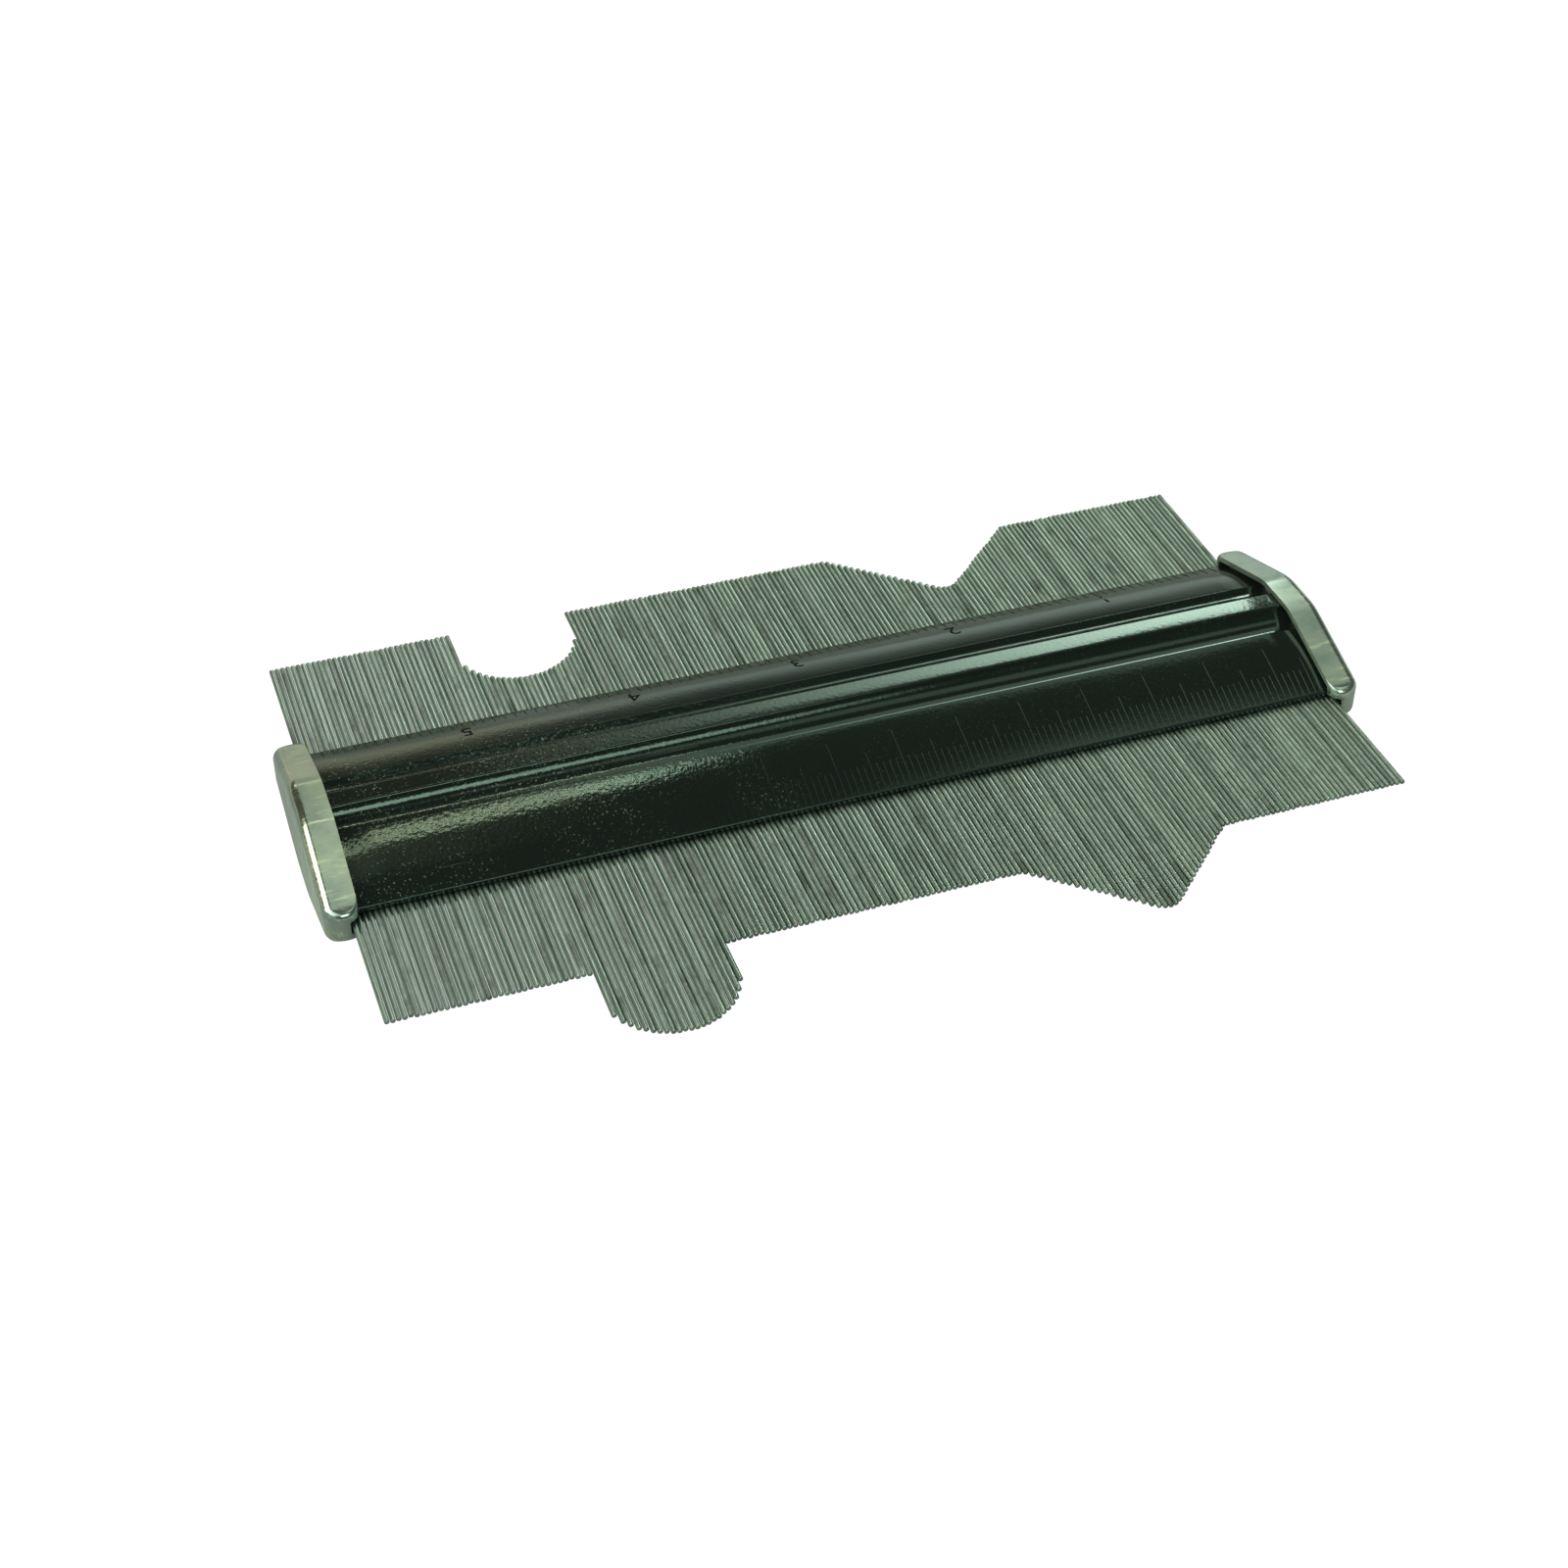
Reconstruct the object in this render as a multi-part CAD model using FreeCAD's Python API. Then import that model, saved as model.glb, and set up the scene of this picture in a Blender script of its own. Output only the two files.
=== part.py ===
"""Contour gauge: a pack of sliding steel wires held between two pressed steel covers.

Frame, in millimetres: X runs along the casing, Y along the wires, and Z is up. The origin is on the
flat rib of the lower cover, under the middle of the casing. The end caps that the gauge rests on reach
a sheet's thickness further down. The covers are mirror images about the plane of the wires, and so are
the parts between them. The wires stand where two shapes left them:
a round bar and the corner of a square one, both pushed in towards -Y.
"""

import FreeCAD, Part
import math
import os

Vector = FreeCAD.Vector
UP = Vector(0, 0, 1)

# Sizes named _Z or _TOP are heights above the plane of the wires, which is this far above the origin.
WIRE_PLANE = 6.65

# Wires
WIRE_DIAMETER = 0.75
WIRE_LENGTH = 80.0
WIRE_PITCH = 0.8
WIRE_COUNT = 187
WIRES_PER_GROUP = 4
WIRE_MIDDLE_Y = 1.05
WIRE_SIDES = 8

# Impression of the round bar
ROUND_X = -37.8
ROUND_RADIUS = 9.4
ROUND_DEPTH = 14.1

# Impression of the square corner
CORNER_X = 31.0
CORNER_DEPTH = 13.0
CORNER_LEFT_ANGLE = 40.4
CORNER_RIGHT_ANGLE = 43.5
CORNER_TIP_RADIUS = 2.6

# Pressed steel covers
SHEET = 0.8
COVER_HALF_LENGTH = 75.0
COVER_HALF_WIDTH = 17.65
EDGE_TOP = 1.3
EDGE_BOTTOM = 0.45
SHOULDER_Y = 8.6
SHOULDER_Z = 4.6
CREST_Y = 5.9
CREST_Z = 5.3
CREST_SLOPE = 8.0
GROOVE_Y = 5.2
GROOVE_Z = 4.4
FLANK_RADIUS = 3.95
RIB_Z = WIRE_PLANE
BEND_RADIUS = 0.35

# The ends of each cover are pressed lower, to slip under the end caps.
FULL_FORM_X = 70.2
SEAT_X = 72.8
SEAT_RIB_DROP = 0.2
SEAT_SHOULDER_DROP = 0.5

# Drawn end caps
CAP_SHEET = 0.8
CAP_LIP_X = 73.5
CAP_MOUTH_X = 75.0
CAP_MOUTH_Y = 17.8
CAP_OUTER_X = 78.4
CAP_HALF_LENGTH = 19.8
CAP_TOP_Z = 7.5
CAP_FLAT_Y = 2.2
CAP_CROWN_RADIUS = 11.0
CAP_SLOPE = 18.0
CAP_END_RADIUS = 1.5
CAP_CORNER_RADIUS = 2.8
CAP_RIM_RADIUS = 1.9
CAP_EDGE_RADIUS = 1.4
CAP_STEPS = 3

# End blocks, which fill the caps and bear on the outermost wires
BLOCK_HALF_WIDTH = 16.9
TONGUE_HALF_HEIGHT = 0.4
TONGUE_CLEARANCE = 0.075

# Friction pack between each cover and the wires
FELT_CLEARANCE = 0.045
FELT_THICKNESS = 1.0
FELT_HALF_WIDTH = 6.0
PACK_HALF_LENGTH = 74.6
BAR_THICKNESS = 0.8
BAR_HALF_WIDTH = 5.6
SPRING_SHEET = 0.3
SPRING_CLEARANCE = 0.03
SPRING_HALF_WIDTH = 5.5
SPRING_HALF_WAVES = 8
SPRING_HALF_LENGTH = 69.0

# Solids that are cut away or kept reach this far past what they shape.
REACH = 30.0


def polar(degrees):
    """The unit vector at an angle, as a pair."""
    return math.cos(math.radians(degrees)), math.sin(math.radians(degrees))


def heading(start, end):
    """The angle of the line from start to end."""
    return math.degrees(math.atan2(end[1] - start[1], end[0] - start[0])) % 360.0


def station(point, arrives, leaves=None):
    """A point of an outline, with the headings of the path as it arrives and as it leaves."""
    return point, arrives, arrives if leaves is None else leaves


def rounded(point, arrives, leaves, radius):
    """A corner of an outline as one station, or as the two ends of its bend."""
    if radius == 0:
        return [station(point, arrives, leaves)]
    back = radius * math.tan(math.radians(abs(leaves - arrives)) / 2.0)
    before, after = polar(arrives), polar(leaves)
    start = (point[0] - back * before[0], point[1] - back * before[1])
    end = (point[0] + back * after[0], point[1] + back * after[1])
    return [station(start, arrives), station(end, leaves)]


def inset_point(stop, inset):
    """A station's point moved to the left of the path, to where the two moved sides meet."""
    point, arrives, leaves = stop
    first, second = polar(arrives + 90.0), polar(leaves + 90.0)
    share = inset / (1.0 + first[0] * second[0] + first[1] * second[1])
    return point[0] + share * (first[0] + second[0]), point[1] + share * (first[1] + second[1])


def outline(stations, inset=0.0):
    """Lines, as two points, and arcs, as three, along the stations or to the left of them.

    The arc that turns by T between two points has its middle T / 4 off their chord.
    """
    pieces = []
    for here, there in zip(stations, stations[1:]):
        start, end = inset_point(here, inset), inset_point(there, inset)
        turn = there[1] - here[2]
        if abs(turn) < 0.01:
            pieces.append([start, end])
            continue
        rise = 0.5 * math.tan(math.radians(turn) / 4.0)
        middle = (
            (start[0] + end[0]) / 2.0 + rise * (end[1] - start[1]),
            (start[1] + end[1]) / 2.0 - rise * (end[0] - start[0]),
        )
        pieces.append([start, middle, end])
    return pieces


def turned_back(pieces, first_sign, second_sign):
    """The same pieces in reverse, with either coordinate's sign changed."""
    return [[(first_sign * a, second_sign * b) for a, b in reversed(piece)] for piece in reversed(pieces)]


def ring(pieces, place):
    """A closed wire of the pieces, with straight lines where they don't meet."""
    closed = []
    for piece, following in zip(pieces, pieces[1:] + pieces[:1]):
        closed.append(piece)
        if math.dist(piece[-1], following[0]) > 1e-6:
            closed.append([piece[-1], following[0]])
    edges = []
    for piece in closed:
        points = [place(a, b) for a, b in piece]
        edges.append(Part.LineSegment(*points).toShape() if len(points) == 2 else Part.Arc(*points).toShape())
    return Part.Wire(edges)


def section(pieces, x):
    """A closed wire across the casing, from (y, height above the wires)."""
    return ring(pieces, lambda y, z: Vector(x, y, z + WIRE_PLANE))


def block(x_range, y_range, z_range):
    """A box between two corners, its heights above the wires."""
    lows = Vector(x_range[0], y_range[0], z_range[0] + WIRE_PLANE)
    sizes = [high - low for low, high in (x_range, y_range, z_range)]
    return Part.makeBox(*sizes, lows)


def both_ends(right):
    """The right-hand piece and its mirror image at the left-hand end."""
    return right, right.mirror(Vector(0, 0, 0), Vector(1, 0, 0))


def mirrored_below(upper):
    """The matching piece below the wires."""
    return upper.mirror(Vector(0, 0, WIRE_PLANE), UP)


def cover_stations(rib_drop, shoulder_drop, radius):
    """Half the outer face of a cover's section, from its edge to the corner of its rib.

    The path goes up the flange, over the rounded shoulder to the crest, down the step into the groove,
    and up the hollow flank of the central rib, an arc whose centre is over the groove.
    """
    edge = (COVER_HALF_WIDTH, EDGE_TOP)
    shoulder = (SHOULDER_Y, SHOULDER_Z - shoulder_drop)
    crest = (CREST_Y, CREST_Z - shoulder_drop)
    groove = (GROOVE_Y, GROOVE_Z)
    rib_top = RIB_Z - rib_drop
    rise = GROOVE_Z + FLANK_RADIUS - rib_top
    rib_y = GROOVE_Y - math.sqrt(FLANK_RADIUS ** 2 - rise ** 2)
    flange_heading = heading(edge, shoulder)
    crest_heading = 180.0 - CREST_SLOPE
    step_heading = heading(crest, groove)
    flank_heading = 90.0 + math.degrees(math.asin(rise / FLANK_RADIUS))
    stations = [station(edge, flange_heading), station(shoulder, flange_heading)]
    stations += rounded(crest, crest_heading, step_heading, radius)
    stations += [station(groove, step_heading, 180.0)]
    stations += rounded((rib_y, rib_top), flank_heading, 180.0, radius)
    return stations


def cover_section(rib_drop, shoulder_drop, inner, x):
    """The closed section of a cover's outer form, or of the hollow under it."""
    radius = 0.0 if inner else BEND_RADIUS
    half = outline(cover_stations(rib_drop, shoulder_drop, radius), SHEET if inner else 0.0)
    floor = -1.0 if inner else EDGE_BOTTOM
    if inner:
        start, end = half[0]
        past = (start[0] + 0.2 * (start[0] - end[0]), start[1] + 0.2 * (start[1] - end[1]))
        half[0] = [past, end]
    foot = half[0][0][0]
    skirt = [[(foot, floor), half[0][0]]]
    full = skirt + half
    return section(full + turned_back(full, -1, 1), x)


def cover_form(inner):
    """The solid inside a cover's outer face, or inside its inner face, along the whole casing."""
    reach = 1.0 if inner else 0.0
    middle = Part.Face(cover_section(0.0, 0.0, inner, -FULL_FORM_X)).extrude(Vector(2 * FULL_FORM_X, 0, 0))
    seat = [SEAT_RIB_DROP, SEAT_SHOULDER_DROP, inner]
    joggle = Part.makeLoft(
        [cover_section(0.0, 0.0, inner, FULL_FORM_X), cover_section(*seat, SEAT_X)], True, True
    )
    length = COVER_HALF_LENGTH + reach - SEAT_X
    end = Part.Face(cover_section(*seat, SEAT_X)).extrude(Vector(length, 0, 0))
    return middle.fuse([*both_ends(joggle), *both_ends(end)]).removeSplitter()


def upper_cover():
    """A pressed cover of one sheet, with its rib, grooves and lowered ends."""
    return cover_form(False).cut(cover_form(True))


def cap_stations(half_length):
    """A quarter of the cap's arched section, from its end face up its flank to the flat at its crown."""
    flank = 180.0 - CAP_SLOPE
    bend_y = CAP_FLAT_Y + CAP_CROWN_RADIUS * math.tan(math.radians(CAP_SLOPE) / 2.0)
    end_z = CAP_TOP_Z - (half_length - bend_y) * math.tan(math.radians(CAP_SLOPE))
    stations = rounded((half_length, end_z), 90.0, flank, CAP_END_RADIUS)
    return stations + rounded((bend_y, CAP_TOP_Z), flank, 180.0, CAP_CROWN_RADIUS)


def cap_section(x, inset=0.0, half_length=CAP_HALF_LENGTH):
    """The whole arched section of a cap, or of its hollow."""
    quarter = outline(cap_stations(half_length), inset)
    upper = quarter + turned_back(quarter, -1, 1)
    lower = [[(-y, -z) for y, z in piece] for piece in upper]
    return section(upper + lower, x)


def drawn_in(x, radius):
    """How far a round of this radius, tangent to the cap's outer face, has drawn a side in at x."""
    into = min(radius, max(0.0, x - (CAP_OUTER_X - radius)))
    return radius - math.sqrt(radius ** 2 - into ** 2)


def cap_front():
    """The outer end of a cap, which a corner radius narrows in plan and an edge radius rounds over."""
    corner_x = CAP_OUTER_X - CAP_CORNER_RADIUS
    edge_x = CAP_OUTER_X - CAP_EDGE_RADIUS
    places = [corner_x + (edge_x - corner_x) * step / CAP_STEPS for step in range(CAP_STEPS)]
    turns = [math.pi / 2.0 * step / CAP_STEPS for step in range(CAP_STEPS)]
    places += [edge_x + CAP_EDGE_RADIUS * math.sin(turn) for turn in turns] + [CAP_OUTER_X]
    rings = []
    for x in places:
        lower = drawn_in(x, CAP_EDGE_RADIUS)
        rings.append(cap_section(x, lower, CAP_HALF_LENGTH - drawn_in(x, CAP_CORNER_RADIUS) + lower))
    return Part.makeLoft(rings, True, True)


def cap_plan(inset):
    """A tall solid of the plan of a cap, with round corners, or of its hollow, open towards the covers."""
    rim_x = CAP_LIP_X + inset
    outer_x = CAP_OUTER_X - inset
    end_y = CAP_HALF_LENGTH - inset
    stations = rounded((rim_x, end_y), 90.0, 0.0, CAP_RIM_RADIUS - inset)
    if inset:
        mouth = [station((CAP_LIP_X - 1.0, CAP_MOUTH_Y), 0.0), station((rim_x, CAP_MOUTH_Y), 0.0, 90.0)]
        stations = mouth + stations
    stations += rounded((outer_x, end_y), 0.0, -90.0, CAP_CORNER_RADIUS - inset)
    half = outline(stations + [station((outer_x, 0.0), -90.0)])
    wire = ring(half + turned_back(half, 1, -1), lambda x, y: Vector(x, y, -REACH))
    return Part.Face(wire).extrude(Vector(0, 0, 2 * REACH + WIRE_PLANE))


def end_cap():
    """A pan drawn from thin sheet, with rounded edges, open towards the covers and beside the last wire."""
    corner_x = CAP_OUTER_X - CAP_CORNER_RADIUS
    back = Part.Face(cap_section(CAP_LIP_X)).extrude(Vector(corner_x - CAP_LIP_X, 0, 0))
    outer = back.common(cap_plan(0.0)).fuse(cap_front())
    start_x = CAP_LIP_X - 1.0
    depth = CAP_OUTER_X - CAP_SHEET - start_x
    hollow = Part.Face(cap_section(start_x, CAP_SHEET)).extrude(Vector(depth, 0, 0))
    mouth = block((start_x, CAP_MOUTH_X), (-REACH, REACH), (-EDGE_TOP, EDGE_TOP))
    return outer.cut(hollow.common(cap_plan(CAP_SHEET))).cut(mouth)


def end_block():
    """A block that fills the cap, with a thin tongue that stops just short of the last wire."""
    depth = CAP_OUTER_X - CAP_SHEET - COVER_HALF_LENGTH
    body = Part.Face(cap_section(COVER_HALF_LENGTH, CAP_SHEET)).extrude(Vector(depth, 0, 0))
    body = body.common(block((0, 2 * CAP_OUTER_X), (-BLOCK_HALF_WIDTH, BLOCK_HALF_WIDTH), (-REACH, REACH)))
    last_wire = WIRE_PITCH * (WIRE_COUNT - 1) / 2.0 + WIRE_DIAMETER / 2.0
    tongue = block(
        (last_wire + TONGUE_CLEARANCE, COVER_HALF_LENGTH + 1.0),
        (-BLOCK_HALF_WIDTH, BLOCK_HALF_WIDTH),
        (-TONGUE_HALF_HEIGHT, TONGUE_HALF_HEIGHT),
    )
    return body.fuse(tongue).removeSplitter()


def friction_pack():
    """The felt strip, the pressure bar and the wavy spring above the wires, from the wires up."""
    felt_bottom = WIRE_DIAMETER / 2.0 + FELT_CLEARANCE
    bar_bottom = felt_bottom + FELT_THICKNESS
    spring_bottom = bar_bottom + BAR_THICKNESS
    along = (-PACK_HALF_LENGTH, PACK_HALF_LENGTH)
    felt = block(along, (-FELT_HALF_WIDTH, FELT_HALF_WIDTH), (felt_bottom, bar_bottom))
    bar = block(along, (-BAR_HALF_WIDTH, BAR_HALF_WIDTH), (bar_bottom, spring_bottom))

    spring_top = GROOVE_Z - SHEET - SPRING_CLEARANCE
    low, high = spring_bottom, spring_top - SPRING_SHEET
    step = 2.0 * SPRING_HALF_LENGTH / SPRING_HALF_WAVES
    lean = math.degrees(2.0 * math.atan((high - low) / step))
    stations = [station((SPRING_HALF_LENGTH, low), 180.0)]
    for index in range(1, SPRING_HALF_WAVES + 1):
        x = SPRING_HALF_LENGTH - index * step
        rising = index % 2 == 1
        halfway = (x + step / 2.0, (low + high) / 2.0)
        stations.append(station(halfway, 180.0 - lean if rising else 180.0 + lean))
        stations.append(station((x, high if rising else low), 180.0))
    lower_face = outline(stations)
    upper_face = [[(x, z + SPRING_SHEET) for x, z in reversed(piece)] for piece in reversed(lower_face)]
    wire = ring(lower_face + upper_face, lambda x, z: Vector(x, -SPRING_HALF_WIDTH, z + WIRE_PLANE))
    spring = Part.Face(wire).extrude(Vector(0, 2 * SPRING_HALF_WIDTH, 0))
    return felt, bar, spring


def round_depth(x):
    """How far the round bar pushed a wire in: its lower half, with straight sides above that."""
    off = x - ROUND_X
    if abs(off) >= ROUND_RADIUS:
        return 0.0
    return ROUND_DEPTH - ROUND_RADIUS + math.sqrt(ROUND_RADIUS ** 2 - off ** 2)


def corner_depth(x):
    """How far the square corner pushed a wire in: two flanks, with a small radius at the tip."""
    angle = math.radians(CORNER_LEFT_ANGLE if x < CORNER_X else CORNER_RIGHT_ANGLE)
    off = abs(x - CORNER_X)
    if off < CORNER_TIP_RADIUS * math.sin(angle):
        return CORNER_DEPTH - CORNER_TIP_RADIUS + math.sqrt(CORNER_TIP_RADIUS ** 2 - off ** 2)
    flank = CORNER_DEPTH + CORNER_TIP_RADIUS * (1.0 / math.cos(angle) - 1.0) - off * math.tan(angle)
    return max(0.0, flank)


def wire_places():
    """The X and middle Y of every wire, from left to right."""
    first = -WIRE_PITCH * (WIRE_COUNT - 1) / 2.0
    xs = [first + WIRE_PITCH * index for index in range(WIRE_COUNT)]
    return [(x, WIRE_MIDDLE_Y - round_depth(x) - corner_depth(x)) for x in xs]


def wire(x, middle_y):
    """One straight wire along Y, as a prism whose flat sides touch the round wire's surface."""
    corner = WIRE_DIAMETER / 2.0 / math.cos(math.pi / WIRE_SIDES)
    angles = [math.pi * (2 * index + 1) / WIRE_SIDES for index in range(WIRE_SIDES)]
    start_y = middle_y - WIRE_LENGTH / 2.0
    points = [Vector(x + corner * math.cos(a), start_y, WIRE_PLANE + corner * math.sin(a)) for a in angles]
    return Part.Face(Part.makePolygon(points + points[:1])).extrude(Vector(0, WIRE_LENGTH, 0))


def build():
    """Every node of the gauge, by name."""
    nodes = {}
    nodes["upper_cover"] = upper_cover()
    nodes["right_end_cap"], nodes["left_end_cap"] = both_ends(end_cap())
    nodes["right_end_block"], nodes["left_end_block"] = both_ends(end_block())
    nodes["upper_felt"], nodes["upper_pressure_bar"], nodes["upper_wavy_spring"] = friction_pack()
    for name in ("cover", "felt", "pressure_bar", "wavy_spring"):
        nodes["lower_" + name] = mirrored_below(nodes["upper_" + name])
    places = wire_places()
    for index, start in enumerate(range(0, WIRE_COUNT, WIRES_PER_GROUP)):
        group = places[start:start + WIRES_PER_GROUP]
        nodes["wires_%02d" % (index + 1)] = Part.makeCompound([wire(x, y) for x, y in group])
    return nodes


os.makedirs("parts", exist_ok=True)
for name, shape in build().items():
    if not shape.isValid():
        raise ValueError(name + " is not a valid solid")
    shape.exportStep("parts/" + name + ".step")
    print(name, len(shape.Solids), round(shape.Volume, 3))
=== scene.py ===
# %% [markdown]
# # A contour gauge
# A contour gauge copies the outline of a moulding. A comb of thin steel wires slides through a casing,
# and every wire stays where it was pushed. Here the wires show a round bar and a square corner.
#
# The casing is two pressed sheets, painted glossy black, and a drawn, plated cap closes each end.
# This file dresses the plain solids of the gauge for a render, one piece after the other.

# %% Load the solids
import math
import bpy
import numpy as np
from mathutils import Matrix, Vector


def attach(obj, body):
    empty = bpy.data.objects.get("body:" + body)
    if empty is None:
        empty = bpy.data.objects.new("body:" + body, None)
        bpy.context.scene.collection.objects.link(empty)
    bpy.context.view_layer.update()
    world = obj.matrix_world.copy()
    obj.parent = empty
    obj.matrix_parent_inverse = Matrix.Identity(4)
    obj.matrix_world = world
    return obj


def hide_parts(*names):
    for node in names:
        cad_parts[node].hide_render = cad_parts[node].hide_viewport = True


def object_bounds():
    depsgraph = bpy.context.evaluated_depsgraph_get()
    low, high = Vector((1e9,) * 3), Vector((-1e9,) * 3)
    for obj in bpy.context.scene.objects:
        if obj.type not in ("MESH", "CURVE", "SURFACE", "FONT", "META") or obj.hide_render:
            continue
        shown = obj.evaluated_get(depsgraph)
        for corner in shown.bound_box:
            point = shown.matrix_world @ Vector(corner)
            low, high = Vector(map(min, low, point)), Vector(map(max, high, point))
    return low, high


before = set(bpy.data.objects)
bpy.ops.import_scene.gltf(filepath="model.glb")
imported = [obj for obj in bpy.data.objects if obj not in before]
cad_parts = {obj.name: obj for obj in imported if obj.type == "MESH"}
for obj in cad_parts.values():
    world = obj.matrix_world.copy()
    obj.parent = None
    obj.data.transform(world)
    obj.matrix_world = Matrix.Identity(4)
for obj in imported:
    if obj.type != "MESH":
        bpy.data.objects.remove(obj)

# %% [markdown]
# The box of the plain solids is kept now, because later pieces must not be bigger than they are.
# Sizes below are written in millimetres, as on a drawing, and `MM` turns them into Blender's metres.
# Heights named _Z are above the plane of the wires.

MM = 0.001
WIRE_PLANE = 6.65
cad_lowest, cad_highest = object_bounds()
print("solids:", len(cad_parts), "box in mm:", [round(v / MM, 2) for v in cad_highest - cad_lowest])

# %% [markdown]
# ## Small tools
# A pressed sheet is drawn as a path of straight sides with a round at every corner. A drawing program
# would make each section by hand. A function makes all of them at once, so a section can also change
# along the casing.

# %% Paths with rounded corners
SIDE_FRACTIONS = np.array([0.02, 0.13, 0.27, 0.39, 0.5, 0.61, 0.73, 0.87, 0.98])


def smooth_step(value):
    """0 below 0, 1 above 1, and 3 v squared minus 2 v cubed between."""
    value = np.clip(value, 0.0, 1.0)
    return value * value * (3.0 - 2.0 * value)


def left_of(directions):
    """Each direction turned a quarter to the left: (a, b) becomes (-b, a)."""
    return np.stack([-directions[..., 1], directions[..., 0]], axis=-1)


def sides_of(corners):
    """The unit direction of every side of each path."""
    steps = np.diff(corners, axis=-2)
    return steps / np.linalg.norm(steps, axis=-1, keepdims=True)


def moved_left(corners, distance):
    """The corners of the path that runs at a distance to the left of each path.

    A corner between two sides with left normals n and m moves by distance (n + m) / (1 + n . m).
    """
    normals = left_of(sides_of(corners))
    first = np.concatenate([normals[..., :1, :], normals], axis=-2)
    second = np.concatenate([normals, normals[..., -1:, :]], axis=-2)
    share = distance / (1.0 + np.sum(first * second, axis=-1, keepdims=True))
    return corners + share * (first + second)


def rounded_path(corners, radii, arc_points=6):
    """Points along each path, with an arc in place of every inner corner.

    An arc of radius r that turns by T starts r tan(T / 2) before its corner, and its centre is r to
    the side. Each side has points near both its ends, so a flat stays flat when it is shaded smooth.
    """
    sides = sides_of(corners)
    before, after = sides[..., :-1, :], sides[..., 1:, :]
    cross = before[..., 0] * after[..., 1] - before[..., 1] * after[..., 0]
    turn = np.arctan2(cross, np.sum(before * after, axis=-1))
    radii = np.broadcast_to(np.asarray(radii, float), turn.shape)
    start = corners[..., 1:-1, :] - (radii * np.tan(np.abs(turn) / 2.0))[..., None] * before
    to_centre = left_of(before) * (radii * np.sign(turn))[..., None]
    centre = start + to_centre
    angle = turn[..., None] * np.linspace(0.0, 1.0, arc_points)
    swing_x = to_centre[..., None, 0] * np.cos(angle) - to_centre[..., None, 1] * np.sin(angle)
    swing_y = to_centre[..., None, 0] * np.sin(angle) + to_centre[..., None, 1] * np.cos(angle)
    arcs = centre[..., None, :] - np.stack([swing_x, swing_y], axis=-1)
    side_start = np.concatenate([corners[..., :1, :], arcs[..., -1, :]], axis=-2)
    side_end = np.concatenate([arcs[..., 0, :], corners[..., -1:, :]], axis=-2)
    along = side_start[..., None, :] + (side_end - side_start)[..., None, :] * SIDE_FRACTIONS[:, None]
    pairs = np.concatenate([along[..., :-1, :, :], arcs], axis=-2)
    pairs = pairs.reshape(*pairs.shape[:-3], -1, 2)
    return np.concatenate([corners[..., :1, :], pairs, along[..., -1, :, :], corners[..., -1:, :]], axis=-2)


# %% [markdown]
# A mesh is points and faces. The faces of a surface that is worked out on a grid always follow the
# same pattern, so one function numbers them. A closed mesh whose faces point out has a positive
# volume. That is an easy test, and a mirrored piece fails it until its faces are turned round.

# %% Meshes from grids
def grid_faces(rows, columns):
    """Quads between the neighbours of a grid, numbered row by row, whose rows are closed rings."""
    row, column = np.meshgrid(np.arange(rows - 1), np.arange(columns), indexing="ij")
    following = (column + 1) % columns
    corners = [row * columns + column, row * columns + following]
    corners += [corner + columns for corner in reversed(corners)]
    return np.stack(corners, axis=-1).reshape(-1, 4)


def volume_of(points, faces):
    """The volume inside the faces: the sum of a . (b x c) / 6 over their triangles."""
    total = 0.0
    for group in faces:
        a = points[group[:, :1]]
        b, c = points[group[:, 1:-1]], points[group[:, 2:]]
        total += np.sum(a * np.cross(b, c)) / 6.0
    return total


def make_piece(name, points, faces, material, body, replaced=(), sharp_degrees=40.0):
    """A closed mesh from points in millimetres and groups of faces, which rides on a body."""
    if volume_of(points, faces) < 0.0:
        faces = [group[:, ::-1] for group in faces]
    mesh = bpy.data.meshes.new(name)
    mesh.from_pydata((points * MM).tolist(), [], [face for group in faces for face in group.tolist()])
    mesh.polygons.foreach_set("use_smooth", np.ones(len(mesh.polygons), bool))
    mesh.set_sharp_from_angle(angle=math.radians(sharp_degrees))
    mesh.materials.append(material)
    mesh.update()
    piece = bpy.data.objects.new(name, mesh)
    bpy.context.scene.collection.objects.link(piece)
    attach(piece, body)
    if replaced:
        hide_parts(*replaced)
    return piece


# %% [markdown]
# ## Finishes
# Blender draws a finish with a tree of nodes. Two helpers keep the trees short: one starts a material
# and one adds a node, with its settings and whatever is plugged into it.

# %% Node helpers
def start_material(name):
    """A new material's node tree and its Principled shader, with the object's own coordinates."""
    material = bpy.data.materials.new(name)
    material.use_nodes = True
    tree = material.node_tree
    place = tree.nodes.new("ShaderNodeTexCoord").outputs["Object"]
    return material, tree, tree.nodes["Principled BSDF"], place


def add(tree, kind, inputs=None, **settings):
    """A node of this kind. An input gets a value, or is linked where a socket is given."""
    node = tree.nodes.new("ShaderNode" + kind)
    for key, value in settings.items():
        setattr(node, key, value)
    for key, value in (inputs or {}).items():
        if isinstance(value, bpy.types.NodeSocket):
            tree.links.new(value, node.inputs[key])
        else:
            node.inputs[key].default_value = value
    return node


def math_node(tree, operation, first, second=0.0):
    """The output of a Math node."""
    return add(tree, "Math", {0: first, 1: second}, operation=operation).outputs[0]


def stretched(tree, place, scale):
    """The coordinates multiplied by a scale, as the spots per metre along each axis."""
    return add(tree, "Mapping", {"Vector": place, "Scale": scale}).outputs[0]


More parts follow.
